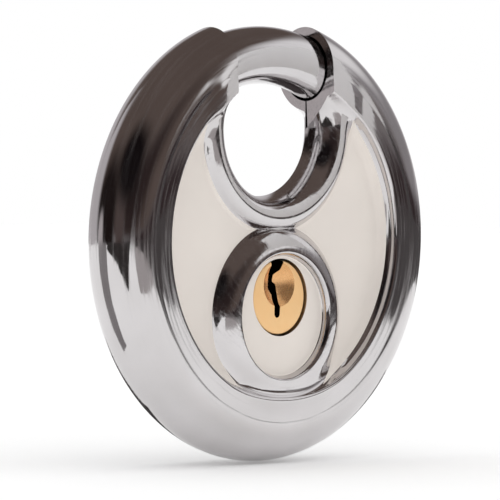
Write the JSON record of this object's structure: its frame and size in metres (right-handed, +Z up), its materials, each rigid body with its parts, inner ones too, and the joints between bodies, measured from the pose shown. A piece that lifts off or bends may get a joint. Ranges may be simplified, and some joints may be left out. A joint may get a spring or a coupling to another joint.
{
  "type": "disc padlock",
  "caption": "Round polished steel disc padlock with a hidden curved shackle, a U-shaped staple opening, a raised boss and a brass key plug.",
  "frame": {"origin": "middle of the bar's inner side, where a staple bears, on the lock's mid plane", "axes": "+Z up from the key plug to the bar, -Y out of the key slot's side, +X to the right seen from the front"},
  "size_m": [0.07, 0.0166, 0.0684],
  "materials": {
    "polished_stainless_steel": "mirror polished rim, fine satin flats",
    "ground_stainless_bar": "polished",
    "zinc_plated_steel": "zinc plated",
    "spring_steel": "drawn wire",
    "machined_brass": "machined"
  },
  "bodies": {
    "case": {"front_shell": "polished_stainless_steel", "rear_shell": "polished_stainless_steel", "cylinder_body": "machined_brass", "chamber_strip": "machined_brass", "drill_plate": "zinc_plated_steel", "carrier_plate": "zinc_plated_steel", "cylinder_screw_1": "zinc_plated_steel", "cylinder_screw_2": "zinc_plated_steel", "shackle_guide_left": "machined_brass", "shackle_guide_right": "machined_brass", "pin_spring_1": "spring_steel", "pin_spring_2": "spring_steel", "pin_spring_3": "spring_steel"},
    "shackle": {"shackle": "ground_stainless_bar"},
    "plug": {"plug": "machined_brass", "driver_arm": "zinc_plated_steel", "drive_pin": "zinc_plated_steel", "plug_clip": "spring_steel"},
    "key_pin_1": {"key_pin_1": "machined_brass"},
    "key_pin_2": {"key_pin_2": "machined_brass"},
    "key_pin_3": {"key_pin_3": "machined_brass"},
    "driver_pin_1": {"driver_pin_1": "machined_brass"},
    "driver_pin_2": {"driver_pin_2": "machined_brass"},
    "driver_pin_3": {"driver_pin_3": "machined_brass"}
  },
  "joints": [
    {"name": "shackle_turn", "type": "hinge", "parent": "case", "child": "shackle", "pos_m": [0, 0, -0.0244], "axis": [0, 1, 0], "range_deg": [0, 61.17]},
    {"name": "plug_turn", "type": "hinge", "parent": "case", "child": "plug", "pos_m": [0, 0, -0.0335], "axis": [0, 1, 0], "range_deg": [0, 90]},
    {"name": "key_pin_1_slide", "type": "slide", "parent": "plug", "child": "key_pin_1", "axis": [0, 0, 1], "range_m": [0, 0.0009]},
    {"name": "key_pin_2_slide", "type": "slide", "parent": "plug", "child": "key_pin_2", "axis": [0, 0, 1], "range_m": [0, 0.0009]},
    {"name": "key_pin_3_slide", "type": "slide", "parent": "plug", "child": "key_pin_3", "axis": [0, 0, 1], "range_m": [0, 0.0009]},
    {"name": "driver_pin_1_slide", "type": "slide", "parent": "case", "child": "driver_pin_1", "axis": [0, 0, -1], "range_m": [0, 0.0009], "stiffness_N_per_m": 60, "springref_m": -0.0005, "deforming": ["pin_spring_1"]},
    {"name": "driver_pin_2_slide", "type": "slide", "parent": "case", "child": "driver_pin_2", "axis": [0, 0, -1], "range_m": [0, 0.0009], "stiffness_N_per_m": 60, "springref_m": -0.0005, "deforming": ["pin_spring_2"]},
    {"name": "driver_pin_3_slide", "type": "slide", "parent": "case", "child": "driver_pin_3", "axis": [0, 0, -1], "range_m": [0, 0.0009], "stiffness_N_per_m": 60, "springref_m": -0.0005, "deforming": ["pin_spring_3"]}
  ],
  "couplings": [
    {"joint": "plug_turn", "follows": "shackle_turn", "ratio": 1.4713}
  ]
}
